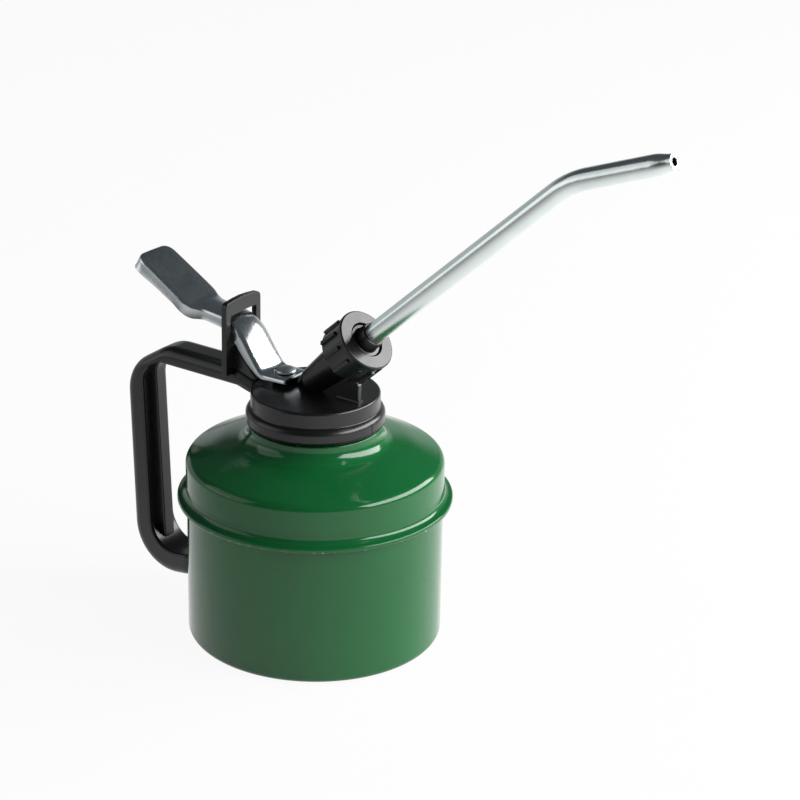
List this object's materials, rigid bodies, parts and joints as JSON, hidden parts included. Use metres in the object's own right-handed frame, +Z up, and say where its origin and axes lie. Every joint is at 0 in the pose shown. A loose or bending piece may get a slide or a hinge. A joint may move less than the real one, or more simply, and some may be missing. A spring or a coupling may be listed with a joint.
{
  "type": "pump oil can",
  "caption": "Round steel oil can with a screw-on pump head, thumb lever, grip handle and a long bent spout held by a union nut.",
  "frame": {"origin": "centre of the can's flat base", "axes": "+Z up along the can's axis, +X towards the spout, the handle on -X; the plane Y = 0 is the plane of symmetry"},
  "size_m": [0.2414, 0.1074, 0.2217],
  "materials": {
    "green_enamel": "glossy dark green enamel on sheet steel",
    "black_nylon": "satin black moulded nylon",
    "bright_plate": "bright plated steel",
    "plain_steel": "plain drawn steel",
    "turned_brass": "turned brass",
    "black_rubber": "oil-proof black rubber"
  },
  "bodies": {
    "can": {"can_body": "green_enamel", "can_dome": "green_enamel", "neck_ring": "plain_steel"},
    "head": {"pump_head": "black_nylon", "lever_guide": "black_nylon", "handle": "black_nylon", "neck_gasket": "black_rubber", "gland_nut": "turned_brass", "rod_packing": "black_rubber", "pump_barrel": "plain_steel", "foot_valve": "turned_brass", "ball_cage": "turned_brass", "suction_tube": "plain_steel", "strainer": "turned_brass", "return_spring": "plain_steel", "outlet_spring": "plain_steel", "spout_seal": "black_rubber"},
    "lever": {"pump_lever": "bright_plate"},
    "rod": {"pump_rod": "plain_steel", "lever_screw": "bright_plate", "piston": "turned_brass", "piston_cup": "black_rubber", "piston_nut": "plain_steel"},
    "inlet_ball": {"inlet_ball": "plain_steel"},
    "outlet_ball": {"outlet_ball": "plain_steel"},
    "nut": {"spout_nut": "black_nylon"},
    "spout": {"spout_tube": "bright_plate", "spout_ferrule": "black_nylon"}
  },
  "joints": [
    {"name": "head_turn", "type": "hinge", "parent": "can", "child": "head", "pos_m": [0, 0, 0.0889], "axis": [0, 0, 1], "continuous": true},
    {"name": "lever_rock", "type": "hinge", "parent": "head", "child": "lever", "pos_m": [-0.0365, 0, 0.1186], "axis": [0, -1, 0], "range_deg": [0, 16], "stiffness_Nm_per_rad": 0.05, "springref_deg": -22.92},
    {"name": "rod_lift", "type": "slide", "parent": "head", "child": "rod", "axis": [0, 0, 1], "range_m": [0, 0.0071], "deforming": ["return_spring"]},
    {"name": "inlet_ball_lift", "type": "slide", "parent": "head", "child": "inlet_ball", "axis": [0, 0, 1], "range_m": [0, 0.0015]},
    {"name": "outlet_ball_lift", "type": "slide", "parent": "head", "child": "outlet_ball", "axis": [0.7408, 0, 0.6717], "range_m": [0, 0.001]},
    {"name": "nut_turn", "type": "hinge", "parent": "head", "child": "nut", "pos_m": [0.024, 0, 0.1269], "axis": [0.7408, 0, 0.6717], "continuous": true},
    {"name": "spout_swivel", "type": "hinge", "parent": "head", "child": "spout", "pos_m": [0.024, 0, 0.1269], "axis": [0.7408, 0, 0.6717], "continuous": true}
  ],
  "couplings": [
    {"joint": "rod_lift", "follows": "lever_rock", "m_per_rad": 0.0252}
  ]
}
